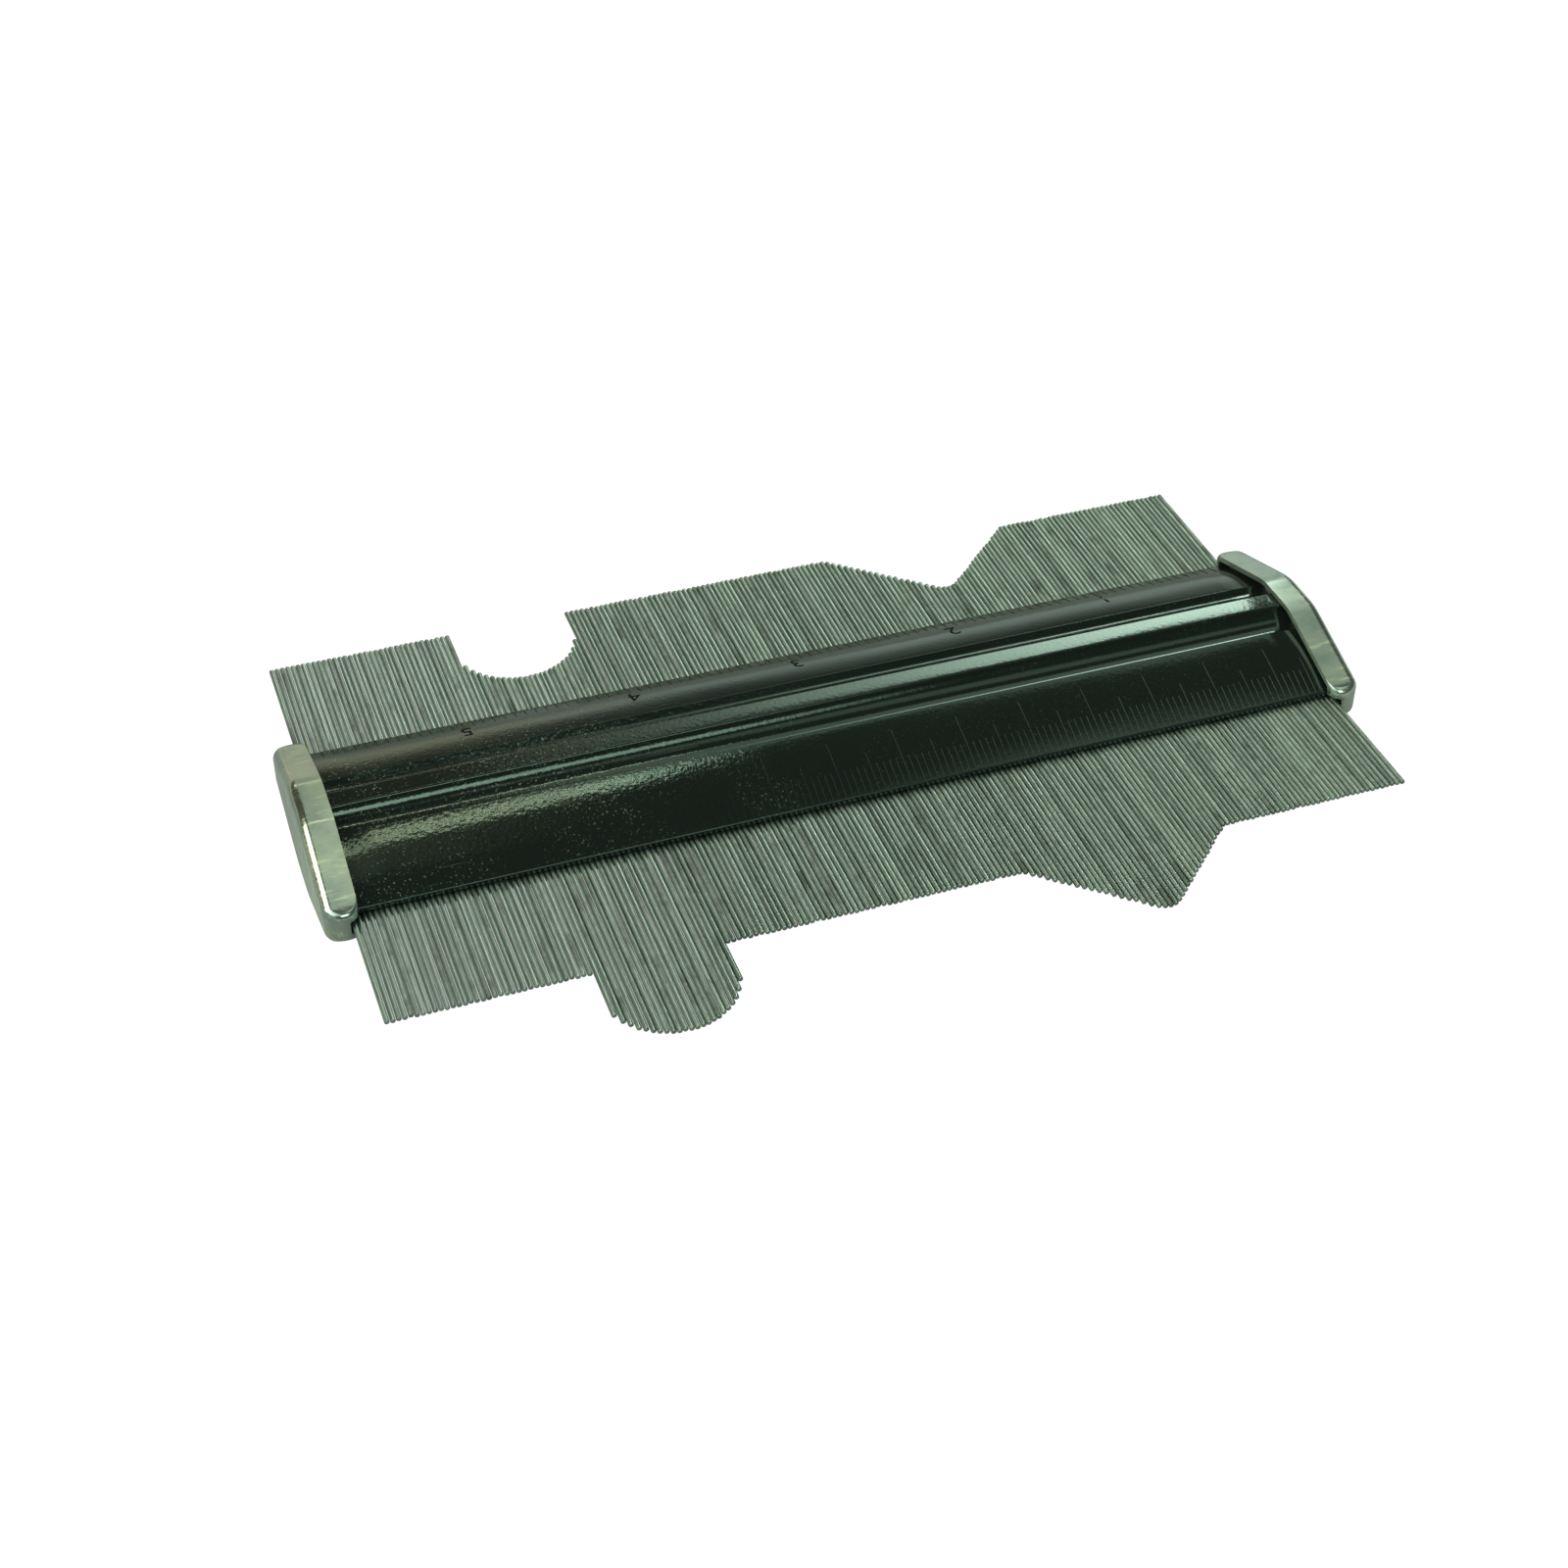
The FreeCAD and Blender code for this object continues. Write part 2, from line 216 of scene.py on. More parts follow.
def noise(tree, vector, scale=1.0, detail=2.0, roughness=0.5):
    """Smooth random spots between 0 and 1."""
    settings = {"Vector": vector, "Scale": scale, "Detail": detail, "Roughness": roughness}
    return add(tree, "TexNoise", settings).outputs["Fac"]


def between(tree, value, low, high, to_low=0.0, to_high=1.0):
    """A value's range low to high, spread smoothly over to_low to to_high and held beyond it."""
    inputs = {"Value": value, 1: low, 2: high, 3: to_low, 4: to_high}
    return add(tree, "MapRange", inputs, interpolation_type="SMOOTHSTEP").outputs[0]


def mixed(tree, share, first, second):
    """A blend of two colours, given as sockets or as red, green and blue."""
    node = add(tree, "Mix", {0: share}, data_type="RGBA")
    for key, value in (("A", first), ("B", second)):
        socket = [entry for entry in node.inputs if entry.name == key and entry.type == "RGBA"][0]
        if isinstance(value, bpy.types.NodeSocket):
            tree.links.new(value, socket)
        else:
            socket.default_value = (*value, 1.0)
    return [entry for entry in node.outputs if entry.type == "RGBA"][0]


def bumped(tree, height, distance, normal=None):
    """A normal tilted by a height between 0 and 1 that is worth a distance in metres."""
    inputs = {"Height": height, "Distance": distance, "Strength": 1.0}
    if normal is not None:
        inputs["Normal"] = normal
    return add(tree, "Bump", inputs).outputs[0]


# %% [markdown]
# The covers are sprayed with glossy black paint. Real paint isn't a perfect mirror: it has a fine
# orange peel, slow waves of the sheet under it, hairline scratches and a little dust. All four are
# noise of different sizes, and only the dust and the scratches change the colour. The left half of
# the gauge is worn more than the right half, so its marks and its orange peel are stronger there.

# %% Glossy black paint
PAINT_BLACK = (0.0072, 0.0092, 0.0078)
PAINT_MARK = (0.13, 0.17, 0.12)
PAINT_REFLECTION = (0.74, 1.0, 0.83, 1.0)
PEEL_HEIGHT = 0.000016
SWELL_HEIGHT = 0.00011
WORN_FROM_X, WORN_TO_X = 0.005, -0.03


def make_paint():
    """Black paint: orange peel, slow waves, hairline scratches and dust."""
    material, tree, shader, place = start_material("gloss_black_paint")
    peel = noise(tree, place, 1500.0, 3.0)
    waves = noise(tree, stretched(tree, place, (28.0, 120.0, 60.0)), 1.0, 1.0)
    normal = bumped(tree, waves, SWELL_HEIGHT)
    split = add(tree, "SeparateXYZ", {0: place}).outputs
    worn = between(tree, split["X"], WORN_TO_X, WORN_FROM_X, 1.0, 0.12)
    rough_peel = math_node(tree, "MULTIPLY", peel, math_node(tree, "ADD", worn, 0.5))
    normal = bumped(tree, rough_peel, PEEL_HEIGHT, normal)
    specks = noise(tree, place, 2600.0, 1.0)
    patches = noise(tree, place, 55.0, 2.0)
    dusty = between(tree, patches, 0.40, 0.6)
    dust = math_node(tree, "MULTIPLY", between(tree, specks, 0.62, 0.76), dusty)
    across = noise(tree, stretched(tree, place, (60.0, 2600.0, 2600.0)), 1.0, 2.0)
    hairs = math_node(tree, "MULTIPLY", between(tree, across, 0.735, 0.77), 0.5)
    marks = math_node(tree, "MULTIPLY", math_node(tree, "MAXIMUM", dust, hairs), worn)
    colour = mixed(tree, marks, PAINT_BLACK, PAINT_MARK)
    shader.inputs["IOR"].default_value = 1.5
    shader.inputs["Specular Tint"].default_value = PAINT_REFLECTION
    tree.links.new(colour, shader.inputs["Base Color"])
    tree.links.new(between(tree, patches, 0.3, 0.7, 0.06, 0.11), shader.inputs["Roughness"])
    tree.links.new(normal, shader.inputs["Normal"])
    return material


paint = make_paint()
print("finish:", paint.name)

# %% [markdown]
# The caps are drawn from thin steel and plated. The plating is a warm, slightly green grey, mottled
# where it was handled, with short streaks across the cap's width. Its far side is painted darker, as
# painted shade. It is polished along the edges of a cap, where hands rub it.

# %% Plated steel
PLATE_GREY = (0.40, 0.46, 0.41)
PLATE_WARM = (0.55, 0.61, 0.48)
PLATE_CLOUD = (0.25, 0.31, 0.29)
PLATE_STREAK = (0.80, 0.85, 0.55)
# The darker grey that is painted onto the far side of each cap as shade.
PLATE_FAR_PAINTED_SHADE = (0.18, 0.22, 0.19)
POLISHED_X = (0.0768, 0.0772, 0.0782, 0.0784)
POLISHED_Y = (0.0180, 0.0186)


def make_plating():
    """Plated steel: a warm mottled grey with fine streaks along X, smoother along the edges."""
    material, tree, shader, place = start_material("plated_steel")
    clouds = noise(tree, place, 260.0, 3.0, 0.6)
    streaks = noise(tree, stretched(tree, place, (260.0, 1500.0, 900.0)), 1.0, 3.0, 0.6)
    blotches = noise(tree, place, 120.0, 2.0)
    tone = mixed(tree, between(tree, blotches, 0.35, 0.65), PLATE_GREY, PLATE_WARM)
    tone = mixed(tree, between(tree, clouds, 0.45, 0.72, 0.0, 0.5), tone, PLATE_CLOUD)
    tone = mixed(tree, between(tree, streaks, 0.56, 0.72, 0.0, 0.6), tone, PLATE_STREAK)
    split = add(tree, "SeparateXYZ", {0: place}).outputs
    # Painted shade: the cap is blended towards a darker grey on its far side, by position along Y.
    tone = mixed(tree, between(tree, split["Y"], -0.012, 0.008, 0.0, 0.5), tone, PLATE_FAR_PAINTED_SHADE)
    from_middle = math_node(tree, "ABSOLUTE", split["X"])
    starts, stops = [between(tree, from_middle, *POLISHED_X[i:i + 2]) for i in (0, 2)]
    polish = math_node(tree, "SUBTRACT", starts, stops)
    at_ends = between(tree, math_node(tree, "ABSOLUTE", split["Y"]), *POLISHED_Y)
    polish = math_node(tree, "MAXIMUM", polish, at_ends)
    rough = between(tree, streaks, 0.3, 0.7, 0.46, 0.58)
    rough = math_node(tree, "SUBTRACT", rough, math_node(tree, "MULTIPLY", polish, 0.30))
    normal = bumped(tree, streaks, 0.000018)
    normal = bumped(tree, clouds, 0.00002, normal)
    shader.inputs["Metallic"].default_value = 1.0
    shader.inputs["Coat Weight"].default_value = 0.8
    shader.inputs["Coat Roughness"].default_value = 0.08
    tree.links.new(tone, shader.inputs["Base Color"])
    tree.links.new(rough, shader.inputs["Roughness"])
    tree.links.new(normal, shader.inputs["Normal"])
    return material


plating = make_plating()
print("finish:", plating.name)

# %% [markdown]
# The wires are bare drawn steel. Each one has its own grey, because each turned a little as it was
# pushed. The mesh of a group stores a random number for each wire, and the finish reads it.

# %% Drawn wire steel
WIRE_DARK = (0.225, 0.275, 0.243)
WIRE_PALE = (0.43, 0.505, 0.45)
WIRE_STAIN = (0.10, 0.12, 0.10)
WIRE_GRAIN = (0.5, 0.55, 0.5)


def make_wire_steel():
    """Drawn steel: a grey of its own for each wire, with long streaks and dark stains."""
    material, tree, shader, place = start_material("drawn_wire_steel")
    tone = add(tree, "Attribute", attribute_name="wire_tone").outputs["Fac"]
    split = add(tree, "SeparateXYZ", {0: place}).outputs
    lane = math_node(tree, "MULTIPLY", tone, 977.0)
    along = math_node(tree, "MULTIPLY", split["Y"], 70.0)
    streaks = noise(tree, add(tree, "CombineXYZ", {0: lane, 1: along}).outputs[0], 1.0, 4.0, 0.65)
    fine = math_node(tree, "MULTIPLY", split["Y"], 900.0)
    grain = noise(tree, add(tree, "CombineXYZ", {0: lane, 1: fine}).outputs[0], 1.0, 2.0)
    grey = mixed(tree, tone, WIRE_DARK, WIRE_PALE)
    grey = mixed(tree, between(tree, streaks, 0.52, 0.70, 0.0, 0.75), grey, WIRE_STAIN)
    grey = mixed(tree, between(tree, grain, 0.55, 0.8, 0.0, 0.35), grey, WIRE_GRAIN)
    shader.inputs["Metallic"].default_value = 1.0
    tree.links.new(grey, shader.inputs["Base Color"])
    tree.links.new(between(tree, streaks, 0.3, 0.7, 0.30, 0.46), shader.inputs["Roughness"])
    return material


wire_steel = make_wire_steel()
print("finish:", wire_steel.name)

# %% [markdown]
# The millimetre lines are printed in grey, and nearly worn off at the left. The inch lines and the
# numbers are a dull black, which shows against the light that the far flange reflects. Inside, the
# gauge has felt, spring steel and cast end blocks.

# %% Scales, felt, spring steel and cast alloy
LINE_WORN = (0.008, 0.0105, 0.009)
LINE_GREY = (0.058, 0.072, 0.060)


def make_plain(name, dark, light, rough, metallic, scale, bump):
    """A mottled finish between two greys, with a bump of the same size."""
    material, tree, shader, place = start_material(name)
    spots = noise(tree, place, scale, 4.0, 0.6)
    tree.links.new(mixed(tree, between(tree, spots, 0.3, 0.7), dark, light), shader.inputs["Base Color"])
    tree.links.new(bumped(tree, spots, bump), shader.inputs["Normal"])
    shader.inputs["Roughness"].default_value = rough
    shader.inputs["Metallic"].default_value = metallic
    return material


def make_scale_grey():
    """The grey of the millimetre lines, which is nearly worn off at the left."""
    material, tree, shader, place = start_material("scale_grey")
    across = add(tree, "SeparateXYZ", {0: place}).outputs["X"]
    spots = noise(tree, place, 90.0, 4.0, 0.6)
    patchy = between(tree, spots, 0.3, 0.6, 0.4, 1.0)
    kept = math_node(tree, "MULTIPLY", between(tree, across, -0.02, 0.065), patchy)
    tree.links.new(mixed(tree, kept, LINE_WORN, LINE_GREY), shader.inputs["Base Color"])
    tree.links.new(between(tree, across, -0.035, 0.01, 0.12, 0.45), shader.inputs["Roughness"])
    return material


scale_grey = make_scale_grey()
scale_dark = make_plain("scale_dark", (0.003, 0.004, 0.003), (0.008, 0.01, 0.008), 0.9, 0.0, 90.0, 0.000004)
scale_dark.node_tree.nodes["Principled BSDF"].inputs["Specular IOR Level"].default_value = 0.08
felt = make_plain("wool_felt", (0.16, 0.17, 0.15), (0.34, 0.35, 0.31), 0.95, 0.0, 4000.0, 0.00008)
spring_steel = make_plain("spring_steel", (0.30, 0.31, 0.32), (0.46, 0.47, 0.48), 0.34, 1.0, 500.0, 0.00001)
cast_alloy = make_plain("cast_alloy", (0.38, 0.38, 0.37), (0.55, 0.55, 0.53), 0.5, 1.0, 1400.0, 0.00003)
print("finishes:", scale_grey.name, scale_dark.name, felt.name, spring_steel.name, cast_alloy.name)

# %% [markdown]
# ## The pressed covers
# A cover is one sheet, bent along its whole length: a sloping flange on each side, a sharp crest, a
# narrow groove and a raised rib along the middle. A profile carried along the casing gives all of it.
# The profile is a half path from the edge to the rib, mirrored for the other half. Near the ends the
# crests sink by a quarter of a millimetre and the rib by less, so that the cover fits under the cap.

# %% Sizes of the covers
SHEET = 0.8
COVER_HALF_LENGTH = 75.0
COVER_HALF_WIDTH = 17.65
EDGE_TOP_Z = 1.3
EDGE_BOTTOM_Z = 0.45
CREST = (6.05, 5.24)
FLANGE_RADIUS = 54.0
FLANGE_ARC_RADIUS = 49.0
GROOVE = (5.2, 4.4)
RIB_Z = WIRE_PLANE
FLANK_RADIUS = 3.95
FULL_FORM_X = 68.5
SEAT_X = 73.4
SEAT_RIB_DROP = 0.05
SEAT_CREST_DROP = 0.25
RIB_CROWN = 0.03
RIB_HALF_WIDTH = 1.64
COVER_OUTER_RADII = [0.06, 0.28, FLANGE_ARC_RADIUS, 0.12, 0.25, 3.4, 0.4]
COVER_INNER_RADII = [0.02, 0.02, FLANGE_ARC_RADIUS - SHEET, 0.06, 0.9, 3.5, 0.06]
EDGE_CUT = (0.22, 0.14, 0.06)
INNER_EDGE_STEPS = ((-0.05, 0.06), (-0.10, 0.10))
SHEET_WAVES = ((0.012, 9.0, 6.0, 0.0), (0.010, 15.5, -4.0, 1.3), (0.006, 4.7, 3.0, 0.5))
WAVE_ROOM = 0.012


# %% Section of a cover
def cover_corners(x):
    """The corners of half a section at each x, from the lower edge to the middle of the rib.

    The hollow flank is an arc that starts level in the groove. The lines that touch its two ends meet
    at R tan(T / 2) from the groove, where T is how far the arc turns. The flange is a flat arc as well,
    from the edge to the crest: a chord c of an arc of radius R has a half turn of arcsin(c / 2 R).
    """
    sunk = smooth_step((np.abs(x) - FULL_FORM_X) / (SEAT_X - FULL_FORM_X))
    level = SEAT_CREST_DROP * sunk
    rib_top = RIB_Z - SEAT_RIB_DROP * sunk
    rise = GROOVE[1] + FLANK_RADIUS - rib_top
    rib_y = GROOVE[0] - np.sqrt(FLANK_RADIUS ** 2 - rise ** 2)
    turn = np.pi / 2.0 - np.arcsin(rise / FLANK_RADIUS)
    meeting_y = GROOVE[0] - FLANK_RADIUS * np.tan(turn / 2.0)
    run, climb = COVER_HALF_WIDTH - CREST[0], CREST[1] - level - EDGE_TOP_Z
    chord = np.hypot(run, climb)
    half_turn = np.arcsin(chord / 2.0 / FLANGE_RADIUS)
    lean = np.arctan2(climb, run) + half_turn
    reach = FLANGE_RADIUS * np.tan(half_turn)
    bend_y = COVER_HALF_WIDTH - reach * np.cos(lean)
    bend_z = EDGE_TOP_Z + reach * np.sin(lean)
    along = np.ones_like(x)
    corners = [
        (along * (COVER_HALF_WIDTH - EDGE_CUT[0]), along * (EDGE_BOTTOM_Z + EDGE_CUT[2])),
        (along * (COVER_HALF_WIDTH - EDGE_CUT[1]), along * EDGE_BOTTOM_Z),
        (along * COVER_HALF_WIDTH, along * EDGE_TOP_Z),
        (bend_y, bend_z),
        (along * CREST[0], CREST[1] - level),
        (along * GROOVE[0], along * GROOVE[1]),
        (meeting_y, along * GROOVE[1]),
        (rib_y, rib_top),
        (along * 0.0, rib_top),
    ]
    return np.stack([np.stack(corner, axis=-1) for corner in corners], axis=-2)


def both_halves(half):
    """A half path from the +Y side to the middle, followed by its mirror image to the -Y side."""
    other = half[..., -2::-1, :] * np.array([-1.0, 1.0])
    return np.concatenate([half, other], axis=-2)


x_steps = np.concatenate([
    -COVER_HALF_LENGTH + np.linspace(0.0, 1.0, 3),
    -np.linspace(SEAT_X, FULL_FORM_X, 14),
    np.linspace(-FULL_FORM_X, FULL_FORM_X, 72)[1:-1],
    np.linspace(FULL_FORM_X, SEAT_X, 14),
    COVER_HALF_LENGTH - np.linspace(1.0, 0.0, 3),
])
outer_corners = cover_corners(x_steps)
inner_corners = moved_left(outer_corners, SHEET)
inner_corners[:, :2] = outer_corners[:, :1] + np.array(INNER_EDGE_STEPS)
outer_face = both_halves(rounded_path(outer_corners, COVER_OUTER_RADII))
inner_face = both_halves(rounded_path(inner_corners, COVER_INNER_RADII))
print("cover section points:", outer_face.shape)

# %% [markdown]
# The two faces of the sheet make one ring at each step along the casing. Thin quads close the ring's
# two ends. A real sheet is never quite straight, so slow waves of a hundredth of a millimetre
# lift it, and the reflections run a little crooked, as they do on pressed steel. The lower cover is
# the same pressing turned over.

# %% Upper and lower cover
def sheet_waves(x, y):
    """How far the sheet stands off its drawn shape, in millimetres.

    The rib is crowned by C (y / r) squared. Slow waves, each h sin(x / a + y / b + c), run over the rest,
    and all of it is lowered a little, so that no wave stands higher than the solids.
    """
    crown = -RIB_CROWN * np.minimum(np.abs(y) / RIB_HALF_WIDTH, 1.0) ** 2
    crown = crown * (1.0 - smooth_step((np.abs(y) - RIB_HALF_WIDTH) / 2.5))
    lift = sum(size * np.sin(x / a + y / b + shift) for size, a, b, shift in SHEET_WAVES)
    held = smooth_step((COVER_HALF_WIDTH - np.abs(y)) / 3.0) * smooth_step(np.abs(y) / 4.0)
    return crown + lift * held - WAVE_ROOM


def make_cover(name, upside_down):
    """A cover: rings of the outer and inner face along X, closed at both ends."""
    rings = np.concatenate([outer_face, inner_face[:, ::-1]], axis=1)
    steps, around = rings.shape[:2]
    x = np.broadcast_to(x_steps[:, None], (steps, around))
    y, z = rings[..., 0], rings[..., 1] + sheet_waves(x, rings[..., 0])
    if upside_down:
        y, z = -y, -z
    points = np.stack([x, y, z + WIRE_PLANE], axis=-1).reshape(-1, 3)
    half = around // 2
    index = np.arange(half - 1)
    end = np.stack([index, index + 1, around - 2 - index, around - 1 - index], axis=-1)
    faces = [grid_faces(steps, around), end[:, ::-1], end + (steps - 1) * around]
    return make_piece(name + "_pressing", points, faces, paint, "casing", [name])


covers = [make_cover("upper_cover", False), make_cover("lower_cover", True)]
print("covers:", [len(piece.data.polygons) for piece in covers], "faces")

# %% [markdown]
# ## The drawn end caps
# Each cap is a shallow pan, drawn from one sheet over the ends of both covers. Its section is a long
# arch above the wires and the same arch below them, with round ends. In plan all four corners are
# round. The rings of points run from the lip, over the round corner and along the end wall, to the
# rounded edge of the outer face. Level with the wires the wall beside the mouth is cut back a little.

# %% Sizes of the caps
CAP_SHEET = 0.8
CAP_LIP_X = 73.5
CAP_MOUTH_X = 75.0
CAP_MOUTH_Y = 17.8
CAP_OUTER_X = 78.4
CAP_HALF_LENGTH = 19.8
CAP_TOP_Z = 7.5
CAP_FLAT_Y = 2.2
CAP_CROWN_RADIUS = 11.0
CAP_SLOPE = math.radians(18.0)
CAP_END_RADIUS = 1.5
CAP_CORNER_RADIUS = 2.8
CAP_RIM_RADIUS = 1.9
CAP_EDGE_RADIUS = 1.4
CAP_BEND_Y = CAP_FLAT_Y + CAP_CROWN_RADIUS * math.tan(CAP_SLOPE / 2.0)
NOTCH_HALF_HEIGHT = 1.0
NOTCH_FROM_Y = 15.0
END_WALL_SHARES = (0.985, 0.6, 0.25)


# %% Loop of a cap
def cap_loop(x, inset, half_length):
    """A closed ring across the cap at x: a quarter path moved in by an inset, mirrored twice.

    The flank falls from the bend at the crown by tan(slope) for each millimetre along Y.
    """
    end_z = CAP_TOP_Z - (half_length - CAP_BEND_Y) * math.tan(CAP_SLOPE)
    corners = np.array([(half_length, 0.0), (half_length, end_z), (CAP_BEND_Y, CAP_TOP_Z), (0.0, CAP_TOP_Z)])
    radii = np.maximum([CAP_END_RADIUS - inset, CAP_CROWN_RADIUS - inset], 0.12)
    quarter = rounded_path(moved_left(corners, inset), radii, 9)
    upper = np.concatenate([quarter, quarter[-2::-1] * np.array([-1.0, 1.0])])
    loop = np.concatenate([upper, -upper[1:-1]])
    return np.concatenate([np.full((len(loop), 1), x), loop], axis=-1)


def drawn_in(x, depth, radius):
    """How far a round of this radius has drawn a side in at x, inside a wall of some depth."""
    inner_radius = radius - depth
    into = np.clip(x - (CAP_OUTER_X - radius), 0.0, inner_radius)
    return inner_radius - np.sqrt(inner_radius ** 2 - into ** 2)


def cap_skin(depth):
    """The rings of a cap's skin, at a depth under its outer face, from its lip to its outer face.

    The corner beside the mouth is an arc: x = lip + r (1 - cos a), half length = end - r (1 - sin a).
    """
    rim_radius = CAP_RIM_RADIUS - depth
    turn = np.linspace(0.0, math.pi / 2.0, 9)
    rim_x = CAP_LIP_X + depth + rim_radius * (1.0 - np.cos(turn))
    rim_length = CAP_HALF_LENGTH - rim_radius * (1.0 - np.sin(turn))
    rings = [cap_loop(x, depth, length) for x, length in zip(rim_x, rim_length)]
    if depth:
        rings.insert(0, cap_loop(CAP_LIP_X, depth, CAP_MOUTH_Y + depth))
    for ring in rings:
        notched = (np.abs(ring[:, 2]) < NOTCH_HALF_HEIGHT) & (np.abs(ring[:, 1]) > NOTCH_FROM_Y)
        ring[notched, 0] = np.maximum(ring[notched, 0], CAP_MOUTH_X + depth)
    edge_radius = CAP_EDGE_RADIUS - depth
    edge_x = CAP_OUTER_X - CAP_EDGE_RADIUS
    over = edge_x + edge_radius * np.sin(np.linspace(0.0, math.pi / 2.0, 11))
    start_x = CAP_OUTER_X - CAP_CORNER_RADIUS + 0.3
    for x in np.concatenate([np.linspace(start_x, edge_x, 5)[:-1], over]):
        lower = depth + drawn_in(x, depth, CAP_EDGE_RADIUS)
        shorter = CAP_HALF_LENGTH + lower - depth - drawn_in(x, depth, CAP_CORNER_RADIUS)
        rings.append(cap_loop(x, lower, shorter))
    for share in END_WALL_SHARES:
        rings.append(rings[-1] * np.array([1.0, share, share]))
    return np.array(rings)


# %% Right and left cap
def make_cap(name, side):
    """A cap: the outer skin from its outer face to the mouth, then the inner skin back again."""
    outer, inner = cap_skin(0.0), cap_skin(CAP_SHEET)
    rings = np.concatenate([outer[::-1], inner])
    count, around = rings.shape[:2]
    points = rings.reshape(-1, 3) * np.array([side, 1.0, 1.0]) + np.array([0.0, 0.0, WIRE_PLANE])
    first = np.arange(around)[None, :]
    faces = [grid_faces(count, around), first[:, ::-1], first + (count - 1) * around]
    return make_piece(name + "_pan", points, faces, plating, "casing", [name])


caps = [make_cap("right_end_cap", 1.0), make_cap("left_end_cap", -1.0)]
print("caps:", [len(piece.data.polygons) for piece in caps], "faces")

# %% [markdown]
# ## The wires
# A wire is a long thin cylinder with slightly broken edges at its two ends. There are many of them,
# so each has only twelve sides and three bands of faces. The wires stand where the round bar and the
# square corner left them. Each is shifted sideways by up to two hundredths of a millimetre, and its
# ends by a little more, which keeps the comb from looking like a grating.

# %% Sizes of the wires
WIRE_RADIUS = 0.375
WIRE_LENGTH = 80.0
WIRE_PITCH = 0.8
WIRE_COUNT = 187
WIRES_PER_GROUP = 4
WIRE_MIDDLE_Y = 1.05
WIRE_SIDES = 12
WIRE_RINGS = 4
WIRE_CHAMFER = 0.09
END_SCATTER = 0.10
MOST_SHORT = 0.3
MOST_ASIDE = 0.02
ROUND_X = -37.8
ROUND_RADIUS = 9.4
ROUND_DEPTH = 14.1
CORNER_X = 31.0
CORNER_DEPTH = 13.0
CORNER_LEFT_ANGLE = 40.4
CORNER_RIGHT_ANGLE = 43.5
CORNER_TIP_RADIUS = 2.6


# %% Where the wires stand
def round_depth(x):
    """How far the round bar pushed each wire: its lower half, with straight sides above that."""
    reach = np.sqrt(np.maximum(ROUND_RADIUS ** 2 - (x - ROUND_X) ** 2, 0.0))
    return np.where(np.abs(x - ROUND_X) < ROUND_RADIUS, ROUND_DEPTH - ROUND_RADIUS + reach, 0.0)


def corner_depth(x):
    """How far the square corner pushed each wire: two straight flanks and a small round tip."""
    angle = np.radians(np.where(x < CORNER_X, CORNER_LEFT_ANGLE, CORNER_RIGHT_ANGLE))
    off = np.abs(x - CORNER_X)
    tip = CORNER_DEPTH - CORNER_TIP_RADIUS + np.sqrt(np.maximum(CORNER_TIP_RADIUS ** 2 - off ** 2, 0.0))
    flank = CORNER_DEPTH + CORNER_TIP_RADIUS * (1.0 / np.cos(angle) - 1.0) - off * np.tan(angle)
    return np.where(off < CORNER_TIP_RADIUS * np.sin(angle), tip, np.maximum(flank, 0.0))


wire_x = WIRE_PITCH * (np.arange(WIRE_COUNT) - (WIRE_COUNT - 1) / 2.0)
wire_y = WIRE_MIDDLE_Y - round_depth(wire_x) - corner_depth(wire_x)
chance = np.random.default_rng(7)
wire_tones = chance.beta(2.2, 2.2, WIRE_COUNT)
near_short = np.abs(chance.normal(0.0, END_SCATTER, WIRE_COUNT)).clip(0.0, MOST_SHORT)
far_short = np.abs(chance.normal(0.0, END_SCATTER, WIRE_COUNT)).clip(0.0, MOST_SHORT)
side_shift = chance.uniform(-MOST_ASIDE, MOST_ASIDE, WIRE_COUNT)
print("wires:", WIRE_COUNT, "deepest push in mm:", round(float(WIRE_MIDDLE_Y - wire_y.min()), 2))


# %% Groups of four wires
def make_wires(number, chosen):
    """A group of wires: rings of points at both ends, at full and at chamfered radius."""
    angle = 2.0 * math.pi * (np.arange(WIRE_SIDES) + 0.5) / WIRE_SIDES
    near = wire_y[chosen] - WIRE_LENGTH / 2.0 + near_short[chosen]
    far = wire_y[chosen] + WIRE_LENGTH / 2.0 - far_short[chosen]
    ring_y = np.stack([near, near + WIRE_CHAMFER, far - WIRE_CHAMFER, far], axis=-1)
    radius = WIRE_RADIUS - WIRE_CHAMFER * np.array([1.0, 0.0, 0.0, 1.0])
    shape = (len(chosen), WIRE_RINGS, WIRE_SIDES)
    x = (wire_x[chosen] + side_shift[chosen])[:, None, None] + radius[:, None] * np.cos(angle)
    y = np.broadcast_to(ring_y[..., None], shape)
    z = np.broadcast_to(WIRE_PLANE + radius[:, None] * np.sin(angle), shape)
    points = np.stack([x, y, z], axis=-1).reshape(-1, 3)
    starts = (np.arange(len(chosen)) * WIRE_RINGS * WIRE_SIDES)[:, None, None]
    tube = (grid_faces(WIRE_RINGS, WIRE_SIDES)[None] + starts).reshape(-1, 4)
    ends = np.arange(WIRE_SIDES) + starts[..., 0]
    faces = [tube, ends[:, ::-1], ends + (WIRE_RINGS - 1) * WIRE_SIDES]
    name = "wires_%02d" % number
    piece = make_piece("round_" + name, points, faces, wire_steel, name, [name])
    tones = piece.data.attributes.new("wire_tone", "FLOAT", "POINT")
    values = np.repeat(wire_tones[chosen], WIRE_RINGS * WIRE_SIDES)
    tones.data.foreach_set("value", values.astype(np.float32))
    return piece


